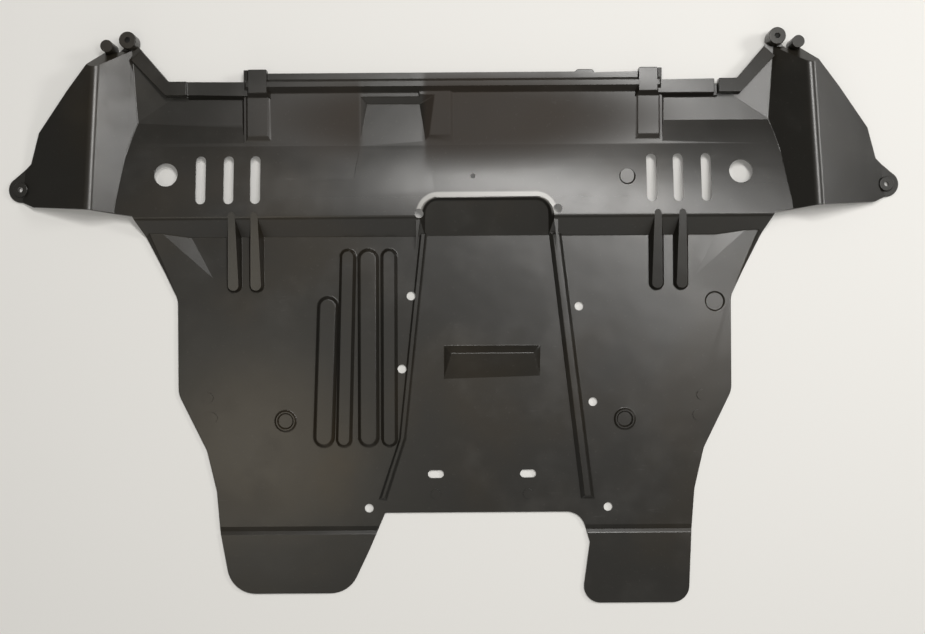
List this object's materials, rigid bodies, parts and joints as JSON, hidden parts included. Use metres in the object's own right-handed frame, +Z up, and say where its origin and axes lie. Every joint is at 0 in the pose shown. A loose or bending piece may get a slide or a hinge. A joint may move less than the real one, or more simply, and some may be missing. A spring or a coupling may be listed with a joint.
{
  "type": "front underbody guard",
  "caption": "Moulded plastic panel that closes the underside of a car's front end, with raised wings, a cross hump, a front trough and rear tabs.",
  "frame": {"origin": "middle of the outline on the surface that the panel rests on", "axes": "+X to the panel's right in the view from above, +Y to the front edge, +Z up"},
  "size_m": [1.11, 0.712, 0.042],
  "materials": {
    "moulded_black": "fine moulded grain, slightly worn sheen"
  },
  "bodies": {
    "root": {"undertray_panel": "moulded_black"}
  },
  "joints": []
}
